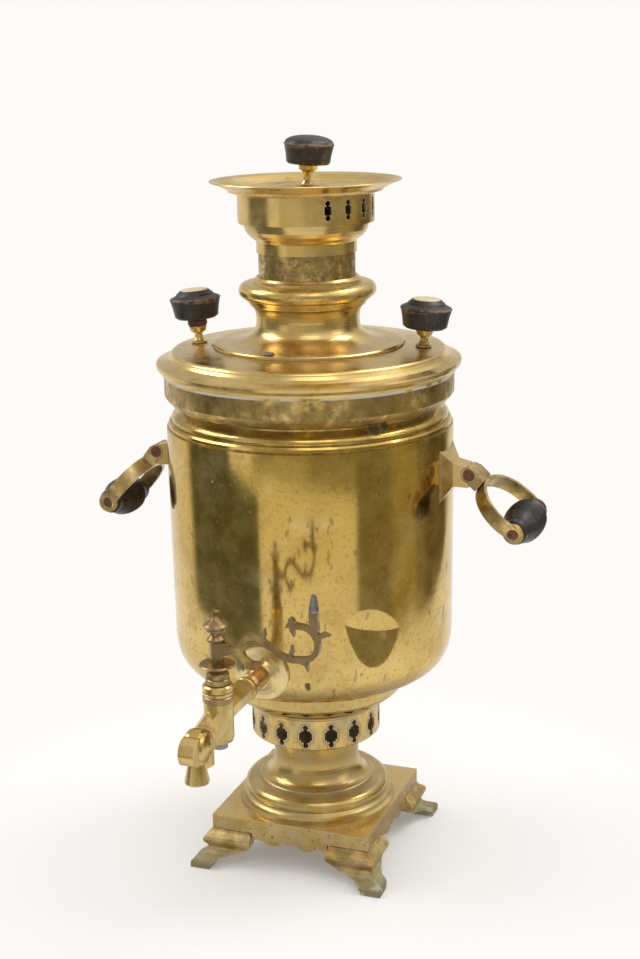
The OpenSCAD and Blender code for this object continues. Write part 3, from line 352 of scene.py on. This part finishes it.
# Millimetres, with heights from the lower end of the body.
BODY_R, NECK_R, RIDGE_R, LIP_R, SHEET = 95.5, 86, 59.5, 44.3, 1.3
BODY_FOOT_Z, BODY_HIGH = 110.6, 209.3
BOWL_AT, BOWL_DEEP, BOWL_POWER = (62, 58), 34, 2.8
WALL_FROM, SHOULDER = 139.4, BODY_HIGH - 18
BOWL_WIDE = BODY_R - 0.7 - BOWL_AT[0]
BOWL_LOW = BOWL_AT[1] - BOWL_DEEP

ring_outside = [
    (LIP_R, 0), (LIP_R + 1.6, 0.9), (LIP_R + 6.4, 3.1), (RIDGE_R - 3.4, 6.2),
    (RIDGE_R, 9.4), (RIDGE_R + 0.9, 10.2), (RIDGE_R + 1.3, 11.4),
    (RIDGE_R + 1.3, BOWL_LOW - 1.6), (RIDGE_R + 1.8, BOWL_LOW - 0.5),
    (RIDGE_R + 3.1, BOWL_LOW),
]
shoulder = [
    (BODY_R, WALL_FROM), (BODY_R, SHOULDER + 2), (BODY_R - 0.3, SHOULDER + 4.2),
    (BODY_R - 1.6, SHOULDER + 4.6), (BODY_R - 1.2, SHOULDER + 5.4),
    (BODY_R - 1.4, SHOULDER + 7.2), (BODY_R - 2.4, SHOULDER + 8.4),
    (BODY_R - 3.7, SHOULDER + 8.8), (BODY_R - 3.3, SHOULDER + 9.8),
    (BODY_R - 3.4, SHOULDER + 11.2), (BODY_R - 4.4, SHOULDER + 12.6),
    (BODY_R - 6.2, SHOULDER + 14.1), (NECK_R + 1.2, SHOULDER + 15.7),
    (NECK_R, SHOULDER + 17), (NECK_R, BODY_HIGH),
]
shoulder_inside = [
    (NECK_R - SHEET, BODY_HIGH), (NECK_R - SHEET, SHOULDER + 16),
    (BODY_R - 7, SHOULDER + 12), (BODY_R - 3.9 - SHEET, SHOULDER + 8),
    (BODY_R - 1.8 - SHEET, SHOULDER + 4), (BODY_R - SHEET, SHOULDER + 1),
    (BODY_R - SHEET, WALL_FROM),
]
ring_inside = [
    (RIDGE_R, BOWL_LOW), (RIDGE_R, 12), (RIDGE_R - 4.6, 6.2 + SHEET),
    (LIP_R + 6, 3.1 + SHEET), (LIP_R + 1.4, 0.9 + SHEET), (LIP_R, 0.9 + SHEET),
]
bowl = oval(BOWL_AT, BOWL_WIDE, BOWL_DEEP, BOWL_POWER)
bowl_inside = oval(BOWL_AT, BOWL_WIDE - SHEET, BOWL_DEEP - SHEET, BOWL_POWER)
bowl_inside.reverse()
wall = lathe(
    "water_body",
    ring_outside + bowl + shoulder + shoulder_inside + bowl_inside + ring_inside,
    base=BODY_FOOT_Z,
)
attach(wall, "urn")
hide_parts("body_shell")

WALL_R = BODY_R / 1000
NECK_FOOT_Z = (0.3005, 0.3030)
SHOULDER_GROOVES_Z = (0.3068, 0.3112, 0.3158, 0.3195)
body = brass(
    "body brass", rough=0.085, stain=0.14, pits=0.7, ripple=1.6e-4, haze=0.07
)
upper = (body.z + (body.noise(14, 4, shift=6) - 0.5) * 0.12).step(0.17, 0.25)
body.coat(upper * 0.75, (0.58, 0.385, 0.085), 0.10)
wear = body.noise(48, 6, shift=2, rough=0.65)
body.coat(wear.step(0.50, 0.62) * 0.4, (0.42, 0.285, 0.075), 0.14)
speckles = body.noise(420, 4, shift=4).step(0.54, 0.66)
body.coat(speckles * 0.4, STAINED_AND_SHADE, 0.2)
rubbed = body.noise(26, 5, shift=9).step(0.56, 0.70)
body.coat(rubbed * 0.35, (0.80, 0.64, 0.33), 0.22)
fleck = body.noise(170, 3, stretch=(1, 1, 0.4), shift=12)
body.coat(fleck.step(0.64, 0.68) * 0.5, (0.25, 0.16, 0.06), 0.3)
neck = body.z.step(*NECK_FOOT_Z)
body.coat(neck * wear.step(0.40, 0.60) * 0.45, (0.34, 0.22, 0.065), 0.24)
body.press(body.noise(9, 2, shift=5) * 5e-4 + wear * 2e-5)
bearing = body.bearing()
DENT_AT, DENT_Z = math.radians(43.8), 0.1885
DENT_HALF_WIDE, DENT_ABOVE, DENT_BELOW = 0.0215, 0.015, 0.027
DENT_TILT, DENT_SAG, DENT_DEEP = 0.0045, 0.003, 0.0027
sideways = (bearing - DENT_AT) * WALL_R / DENT_HALF_WIDE
sag = (sideways**2).least(1) * DENT_SAG
level = body.z - DENT_Z + sideways * DENT_TILT - sag
above = level.most(0) / DENT_ABOVE
below = (0 - level).most(0) / DENT_BELOW
taper = 1 + below * 0.45 + above * 0.3
ring = ((sideways * taper) ** 2 + above**2 + below**2) ** 0.5
body.press((1 - ring).most(0).step(0, 1) * -DENT_DEEP)
for height in SHOULDER_GROOVES_Z:
    band = body.z.within(height, 0.0004, 0.0010)
    worn = body.noise(90, 4, shift=2).step(0.4, 0.6)
    body.coat(band * worn * 0.6, STAINED_AND_SHADE, 0.45)
stain_spots = (
    (47.5, 0.3175, 0.0045, 0.0026),
    (53.0, 0.3185, 0.003, 0.0022),
    (17.8, 0.154, 0.0017, 0.0028),
)
for degrees, height, half_width, half_height in stain_spots:
    u = (bearing - math.radians(degrees)) * WALL_R / half_width
    v = (body.z - height) / half_height
    away = (u**2 + v**2) ** 0.5 + (body.noise(300, 3) - 0.5) * 1.6
    body.coat((1 - away.step(0.8, 1.3)) * 0.9, PIT, 0.6, 0.3)
body.lay(pieces=[wall])


# ---- rim ring ----
# A rolled band soldered to the neck, which the lid's skirt drops into. It was polished
# least: blotched brown and green, with white lime along the joint under the lid.

LID_JOINT_Z = 0.3412
rim = brass("rim ring brass", rough=0.26, stain=0.9, pits=0.8, lime=0.6, shift=2.2)
blotch = rim.noise(70, 6, shift=1)
rim.coat(blotch.step(0.38, 0.54) * 0.7, (0.27, 0.185, 0.06), 0.36)
rim.coat(rim.noise(160, 5, shift=4).step(0.58, 0.66) * 0.55, DEEP_STAIN_AND_SHADE, 0.6, 0.5)
seam_line = rim.z.within(LID_JOINT_Z, 0.0006, 0.0008) * blotch.step(0.36, 0.5)
rim.coat(seam_line * 0.8, (0.55, 0.55, 0.50), 0.8, 0.1)
rim.lay("rim_ring")


# ---- fire tube and grate ----
# The chimney is seamed sheet brass, heavily mottled by heat. Inside the body it widens to
# the firebox, which holds a cast-iron grate; both are scaled and sooty.

CHIMNEY_BORE_R = 0.0307
pipe = brass("chimney brass", rough=0.27, stain=1.0, pits=1.0, lime=0.3, shift=3.3)
heat = pipe.noise(110, 7, shift=5, rough=0.7)
pipe.coat(heat.step(0.5, 0.62) * 0.7, (0.25, 0.17, 0.055), 0.42)
pipe.coat(pipe.noise(330, 5, shift=1).step(0.56, 0.64) * 0.7, DEEP_STAIN_AND_SHADE, 0.6, 0.6)
inside = 1 - pipe.radius().step(CHIMNEY_BORE_R, CHIMNEY_BORE_R + 0.0004)
pipe.coat(inside, (0.03, 0.027, 0.025), 0.9, 0.0)
pipe.lay("chimney_pipe")

soot = Finish("sooty brass", (0.10, 0.075, 0.05), 0.8, 0.3)
soot.coat(soot.noise(90, 5).step(0.5, 0.62), (0.025, 0.022, 0.02), 0.95, 0.0)
soot.lay("firebox_tube")

iron = Finish("ashy cast iron", (0.07, 0.065, 0.06), 0.85, 0.2)
iron.coat(iron.noise(150, 5).step(0.52, 0.6), (0.26, 0.25, 0.23), 0.95, 0.0)
iron.press(iron.noise(500, 3) * 1e-4)
iron.lay("grate")


# ---- handle brackets ----
# Cast brass pyramids soldered to the body, each with a lug that the handle's fork is
# riveted over. Grey solder shows along their edges.

bracket = brass("bracket brass", rough=0.24, stain=0.55, pits=0.5, lime=0.7, shift=7.7)
ragged = bracket.radius() + bracket.noise(260, 3) * 0.0006
solder = 1 - ragged.step(WALL_R + 0.0007, WALL_R + 0.0017)
bracket.coat(solder * 0.5, (0.25, 0.25, 0.20), 0.5, 0.6)
bracket.lay("bracket_right", "bracket_left")


# ---- tap ----
# A cast and filed tap with a ground plug: a coppery round shank with turned grooves, then
# an octagonal arm, the barrel, and an elbow with a curl over the flared nozzle.

escutcheon = brass("escutcheon brass", rough=0.14, stain=0.15, pits=0.2, lime=0.6, shift=5.5)
# Painted highlight: pale patches brighten the escutcheon where it shows a bright reflection.
pale = escutcheon.noise(60).step(0.3, 0.5)
escutcheon.coat(pale * 0.6, (0.84, 0.70, 0.40), 0.16)
escutcheon.lay("escutcheon")

SHANK_Y, BARREL_Y, BARREL_TOP_Z = -0.107, -0.164, 0.1730
tap = brass("tap brass", rough=0.19, stain=0.5, pits=0.3, lime=0.35, shift=8.8)
tap.coat(tap.noise(55, 5, shift=1).step(0.42, 0.62) * 0.5, (0.40, 0.30, 0.12), 0.24)
shank = tap.y.within(SHANK_Y, 0.012, 0.0012)
tap.coat(shank * 0.7, (0.48, 0.26, 0.10), 0.26)
barrel = tap.y.within(BARREL_Y, 0.0105, 0.0004)
collar = tap.z.within(BARREL_TOP_Z, 0.0019, 0.0004) * barrel
tap.coat(collar * 0.7, (0.30, 0.21, 0.13), 0.4)
tap.lay("tap_body", "tap_nut")

washer = Finish("hard leather", (0.12, 0.06, 0.03), 0.7, 0.0)
washer.press(washer.noise(600, 3) * 1e-4)
washer.lay("tap_washer")

key = brass("key bronze", rough=0.24, stain=0.8, pits=0.4, lime=0.3, shift=1.9)
key.coat(key.noise(45, 4, shift=6).step(0.25, 0.5) * 0.8, (0.22, 0.155, 0.08), 0.32)
key.press(key.noise(380, 3) * 3e-5)
key.lay("tap_plug", "key_scroll")

grey = Finish("dull grey metal", (0.30, 0.29, 0.28), 0.34, 0.9)
grey.coat(grey.noise(260, 5).step(0.5, 0.62) * 0.7, (0.12, 0.11, 0.10), 0.5)
grey.press(grey.noise(500, 3) * 4e-5)
grey.lay("key_tip", "plug_washer", "foot_screws", "steam_vent")


# ---- handles ----
# Each is a strip of brass bent to a bow and brazed to a forked hinge block. Copper rivets
# hold the hinge and the turned wooden grip, which spins.

bow = brass("handle brass", rough=0.22, stain=0.7, pits=0.4, lime=0.5, haze=0.3, shift=0.7)
bow.coat(bow.noise(60, 5, shift=3).step(0.40, 0.56) * 0.6, (0.24, 0.16, 0.06), 0.34)
bow.lay(
    "handle_fork_right", "handle_fork_left", "handle_bow_right", "handle_bow_left"
)

rivet = Finish("dark copper rivet", (0.20, 0.085, 0.055), 0.42, 0.85)
rivet.coat(rivet.noise(400, 4).step(0.48, 0.6) * 0.8, (0.05, 0.03, 0.022), 0.6, 0.5)
rivet.press(rivet.noise(700, 3) * 3e-5)
rivet.lay("hinge_pin_right", "hinge_pin_left", "grip_pin_right", "grip_pin_left")

BLACK_WOOD = (0.016, 0.013, 0.012)


def dark_wood(name, rough, shift=0.0):
    """Turned hardwood, stained black, with fine grain and a rubbed sheen."""
    made = Finish(name, BLACK_WOOD, rough, 0.0)
    grain = made.noise(160, 5, stretch=(1, 1, 0.22), shift=shift)
    made.coat(grain.step(0.42, 0.62) * 0.7, (0.035, 0.026, 0.023), rough + 0.08)
    dust = made.noise(520, 3, shift=shift + 2).step(0.62, 0.68)
    made.coat(dust * 0.5, (0.10, 0.08, 0.07))
    made.press(grain * 3e-5 + made.noise(700, 2) * 1e-5)
    return made


grip = dark_wood("black grip wood", 0.34, 3.0)
grip.lay("grip_right", "grip_left")


# ---- lid ----
# Spun in three rings that are soldered together: a broad flange, a flared neck and a
# round moulding. The vent is a loose grey button over a steam hole.

lid = brass("lid brass", rough=0.17, stain=0.25, pits=0.25, lime=0.5, shift=2.9)
lid.lay("lid_plate")

FLARE_WAIST_Z = 0.372
flare = brass("lid neck brass", rough=0.19, stain=0.3, pits=0.25, lime=0.6, shift=5.1)
flare.coat((flare.z - FLARE_WAIST_Z).step(0, 0.014) * 0.35, STAINED_AND_SHADE, 0.3)
flare.lay("lid_flare")

torus = brass("lid moulding brass", rough=0.2, stain=0.35, pits=0.4, lime=0.8, shift=6.3)
torus.lay("lid_torus")


# ---- wooden knobs ----
# Two turned knobs with bone discs lift the lid and an older domed one lifts the cap. All
# stand on brass stems. The black stain has worn off along their edges.


def knob_wood(name, node, shift, chips):
    made = dark_wood(name, 0.4, shift)
    low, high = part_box(node)
    middle = (low + high) / 2
    reach = made.radius(middle.x, middle.y) / ((high.x - low.x) / 2)
    level = (made.z - low.z) / (high.z - low.z)
    rub = made.noise(210, 5, shift=shift + 1)
    shoulder_edge = reach.step(0.90, 0.97) * level.within(0.70, 0.05, 0.05)
    made.coat(shoulder_edge * rub.step(0.40, 0.58) * 0.8, (0.20, 0.115, 0.06), 0.5)
    lower_edge = reach.step(0.70, 0.78) * (1 - level.step(0.08, 0.16))
    made.coat(lower_edge * rub.step(0.46, 0.62) * 0.7, (0.17, 0.09, 0.05), 0.5)
    made.coat(rub.step(0.66 - chips, 0.70 - chips) * 0.5, (0.12, 0.09, 0.075), 0.6)
    made.lay(node)


knob_wood("right knob wood", "lid_knob_right", 1.0, 0.0)
knob_wood("left knob wood", "lid_knob_left", 4.0, 0.0)
knob_wood("cap knob wood", "cap_knob", 7.0, 0.06)

collar = Finish("reddish collar wood", (0.14, 0.055, 0.03), 0.4, 0.0)
collar.coat(collar.noise(240, 5).step(0.45, 0.62), (0.05, 0.022, 0.014), 0.5)
collar.lay("knob_collar")

bone = Finish("old bone", (0.66, 0.55, 0.36), 0.38, 0.0)
bone.coat(bone.noise(150, 5).step(0.44, 0.66) * 0.6, (0.50, 0.36, 0.19), 0.45)
# Dark brown laid by occlusion where the disc is hemmed in: partly the bone's brownish ring,
# partly painted shade.
bone.coat(bone.corners(0.002).step(0.4, 0.9), (0.14, 0.09, 0.05), 0.6)
bone.lay("knob_disc_right", "knob_disc_left")

stem = brass("stem brass", rough=0.22, stain=0.5, pits=0.3, lime=0.4, shift=3.9)
stem.lay("lid_stem_right", "lid_stem_left", "stem_nuts", "cap_stem", "cap_nut")


# ---- crown and cap ----
# The crown sits over the chimney and carries a broad tray for the teapot; keyhole slots
# let the smoke out. A loose plate with a knob closes it.

CROWN_R, SLOT_Z = 0.0443, 0.4487
SLOTS, SLOT_PITCH, SLOT_MIDDLE = 5, math.radians(18.8), math.radians(76.4)
SLOT_FROM = SLOT_MIDDLE - SLOTS / 2 * SLOT_PITCH
KEYHOLE_END, KEYHOLE_END_R, FAR_OFF = 0.0046, 0.0017, 0.1
crown = brass("crown brass", rough=0.19, stain=0.35, pits=0.35, lime=0.5, shift=8.1)
half_turns = crown.bearing() / math.pi
turned = (half_turns - half_turns.sum("FLOOR", half_turns)) * math.pi
place = (turned - SLOT_FROM) / SLOT_PITCH
row = place.step(-0.02, 0.0) * (1 - place.step(SLOTS, SLOTS + 0.02))
across = (place - place.sum("FLOOR", place) - 0.5) * (SLOT_PITCH * CROWN_R)
up = crown.z - SLOT_Z
slot = box_distance(across, up, 0.0023, 0.0027)
slot = slot.least(box_distance(across, up, 0.0008, 0.0042))
for end in (-1, 1):
    away = (across**2 + (up - end * KEYHOLE_END) ** 2) ** 0.5
    slot = slot.least(away - KEYHOLE_END_R)
slot = slot + (1 - row) * FAR_OFF
edge_line(crown, slot, 0.0006, 1e-4)
crown.lay("crown_cup")

TRAY_UNDERSIDE_Z = (0.4588, 0.4600)
tray = brass("tray brass", rough=0.22, stain=0.35, pits=0.4, lime=0.4, shift=4.7)
under = 1 - tray.z.step(*TRAY_UNDERSIDE_Z)
reddened = tray.noise(50, 4).step(0.42, 0.6)
tray.coat(under * reddened * 0.5, (0.50, 0.26, 0.14), 0.32)
tray.lay("crown_tray")

cap = brass("cap brass", rough=0.3, stain=0.7, pits=0.7, lime=0.5, shift=7.2)
cap.lay("cap_plate")


# ---- studio ----
# White paper on a table and a plain white wall, with darker room to the left and right of
# the camera. The paper seen in the brass ends where the table does, and near the object it
# is dimmed by a painted shadow.

VIEW_TURN = math.radians(20.788)
TO_CAMERA = Vector((math.sin(VIEW_TURN), -math.cos(VIEW_TURN), 0))
TO_RIGHT = Vector((math.cos(VIEW_TURN), math.sin(VIEW_TURN), 0))
PAPER_WHITE = (0.982, 0.965, 0.930)
LAMP_WHITE = (1.0, 0.985, 0.96)
LAMPS_AIM = Vector((0, 0, 0.25))


def sheet(name, corners, height):
    """A flat piece of the stage. Corners are metres towards the camera and to its right."""
    mesh = bpy.data.meshes.new(name)
    places = [TO_CAMERA * d + TO_RIGHT * s + Vector((0, 0, height)) for d, s in corners]
    mesh.from_pydata([tuple(p) for p in places], [], [tuple(range(len(places)))])
    made = bpy.data.objects.new(name, mesh)
    bpy.context.scene.collection.objects.link(made)
    return made


FLOOR_EDGE = [(3, -3), (3, 3), (-3, 3), (-3, -3)]
floor = sheet("floor", FLOOR_EDGE, 0.0)
paper = Finish("paper", (0.86, 0.845, 0.82), 1.0, 0.0)
matt = paper.node("BsdfDiffuse", {"Color": (0.765, 0.765, 0.775, 1)})
clear = paper.node("BsdfTransparent")
near = (1 - paper.radius().step(0.10, 0.36)) * 0.85
paper.node("OutputMaterial", {0: paper.node("MixShader", {0: near, 1: clear, 2: matt})})
floor.data.materials.append(paper.material)
floor.visible_glossy = False
floor.visible_diffuse = False

TABLE_EDGE = [
    (0.47, -0.24), (0.47, 0.28), (0.12, 0.58), (-1.1, 0.60), (-1.1, -0.66),
    (-0.30, -0.66), (-0.15, -0.60), (0.02, -0.575), (0.115, -0.50), (0.28, -0.41),
    (0.37, -0.30),
]
table = sheet("table", TABLE_EDGE, -0.0005)
glow = Finish("table paper", (1, 1, 1), 1.0, 0.0)
# Painted shadow: the glowing paper darkens towards the object, where the real paper lies in
# its shade.
clear_of_painted_shadow = glow.radius().step(0.06, 0.27)
colour = clear_of_painted_shadow.blend((0.36, 0.34, 0.31), (0.95, 0.935, 0.90))
light = glow.node("Emission", {"Color": colour, "Strength": 1.0})
glow.node("OutputMaterial", {0: light})
table.data.materials.append(glow.material)
table.visible_camera = False
table.visible_diffuse = False
table.visible_shadow = False

world = bpy.data.worlds.new("room")
bpy.context.scene.world = world
room = Graph(world)
ray = room.node("TexCoord", out="Generated")
ahead = room.node(
    "VectorMath", {0: ray, 1: tuple(TO_CAMERA)}, out=1, operation="DOT_PRODUCT"
)
aside = room.node(
    "VectorMath", {0: ray, 1: tuple(TO_RIGHT)}, out=1, operation="DOT_PRODUCT"
)
rise = room.node("SeparateXYZ", {0: ray}, out=2)
turn = room.node("Math", {0: aside, 1: ahead}, operation="ARCTAN2") * (180 / math.pi)

BRIGHT = (0.90, 0.87, 0.80)
DARK_LEFT = (0.115, 0.125, 0.110)
MID_FRONT = (0.50, 0.46, 0.36)
DIM_FRONT = (0.33, 0.30, 0.20)
DARK_RIGHT = (0.235, 0.215, 0.14)
MID_RIGHT = (0.40, 0.34, 0.18)
DARKEST_RIGHT = (0.14, 0.115, 0.06)
UPPER_WALL = (0.56, 0.54, 0.50)
CEILING = (1.05, 1.03, 0.98)
WINDOW = (1.7, 1.66, 1.58)
# Where the dark parts of the room begin and end, in degrees to the right of the camera,
# and how far the table's own paper pushes their edges round below it.
LEFT_BEGINS, LEFT_ENDS, LEFT_PUSH = (-117, -106), (-68, -65), 24
RIGHT_BEGINS, RIGHT_ENDS, RIGHT_PUSH = (-49, -44), (132, 146), 82
downward = 1 - rise.step(-0.21, -0.15)
left_edge = turn - downward * LEFT_PUSH
left_room = turn.step(*LEFT_BEGINS) * (1 - left_edge.step(*LEFT_ENDS))
right_edge = turn - downward * RIGHT_PUSH
right_room = right_edge.step(*RIGHT_BEGINS) * (1 - turn.step(*RIGHT_ENDS))
right_colour = turn.step(-12, 2).blend(MID_FRONT, DIM_FRONT)
right_colour = turn.step(32, 38).blend(right_colour, DARK_RIGHT)
right_colour = turn.within(79, 8, 10).blend(right_colour, MID_RIGHT)
right_colour = turn.step(98, 108).blend(right_colour, DARKEST_RIGHT)
shade = left_room.blend(BRIGHT, DARK_LEFT)
shade = right_room.blend(shade, right_colour)
shade = rise.step(0.02, 0.24).blend(shade, UPPER_WALL)
overhead = rise.step(0.35, 0.7) * aside.step(-0.3, 0.2)
shade = overhead.blend(shade, CEILING)
window = turn.within(70, 8, 8) * rise.within(0.50, 0.15, 0.12)
shade = window.blend(shade, WINDOW)
path = {n: room.node("LightPath", out=n) for n in ("Is Camera Ray", "Is Glossy Ray")}
seen = path["Is Glossy Ray"].blend(LAMP_WHITE, shade)
seen = path["Is Camera Ray"].blend(seen, PAPER_WHITE)
backdrop = room.node("Background", {"Color": seen, "Strength": 1.0})
room.node("OutputWorld", {0: backdrop})


def lamp(name, side, toward, height, size, power):
    """A square soft lamp, placed as seen from the camera and aimed at the object."""
    data = bpy.data.lights.new(name, "AREA")
    data.size, data.energy = size, power
    data.color = LAMP_WHITE
    made = bpy.data.objects.new(name, data)
    made.location = TO_RIGHT * side + TO_CAMERA * toward + Vector((0, 0, height))
    made.rotation_mode = "QUATERNION"
    made.rotation_quaternion = (LAMPS_AIM - made.location).to_track_quat("-Z", "Y")
    bpy.context.scene.collection.objects.link(made)


lamp("left_window", side=-1.4, toward=-0.3, height=1.5, size=0.9, power=12)
lamp("right_window", side=1.0, toward=-0.25, height=1.85, size=0.8, power=12)
lamp("front_lamp", side=0.1, toward=1.3, height=2.0, size=1.0, power=4)


# ---- camera ----
# Placed by fitting the CAD part to the photograph: just right of the tap, a little above
# the lid, looking down.


CAMERA_PLACE = Vector((0.37415, -0.98554, 0.54951))
CAMERA_LENS = 60.754


def fitted_camera():
    yaw, pitch, roll = (math.radians(v) for v in (0.318, 15.095, 1.057))
    facing = VIEW_TURN - yaw
    level = Vector((-math.sin(facing), math.cos(facing), 0))
    across = Vector((math.cos(facing), math.sin(facing), 0))
    upright = Vector((0, 0, 1))
    forward = level * math.cos(pitch) - upright * math.sin(pitch)
    upward = upright * math.cos(pitch) + level * math.sin(pitch)
    right = across * math.cos(roll) - upward * math.sin(roll)
    top = across * math.sin(roll) + upward * math.cos(roll)
    data = bpy.data.cameras.new("camera")
    data.lens, data.sensor_width = CAMERA_LENS, 36
    data.clip_start = 0.01
    made = bpy.data.objects.new("camera", data)
    turned = Matrix((right, top, -forward)).transposed()
    made.matrix_world = Matrix.Translation(CAMERA_PLACE) @ turned.to_4x4()
    bpy.context.scene.collection.objects.link(made)
    bpy.context.scene.camera = made


fitted_camera()
bpy.context.scene.view_settings.view_transform = "Standard"
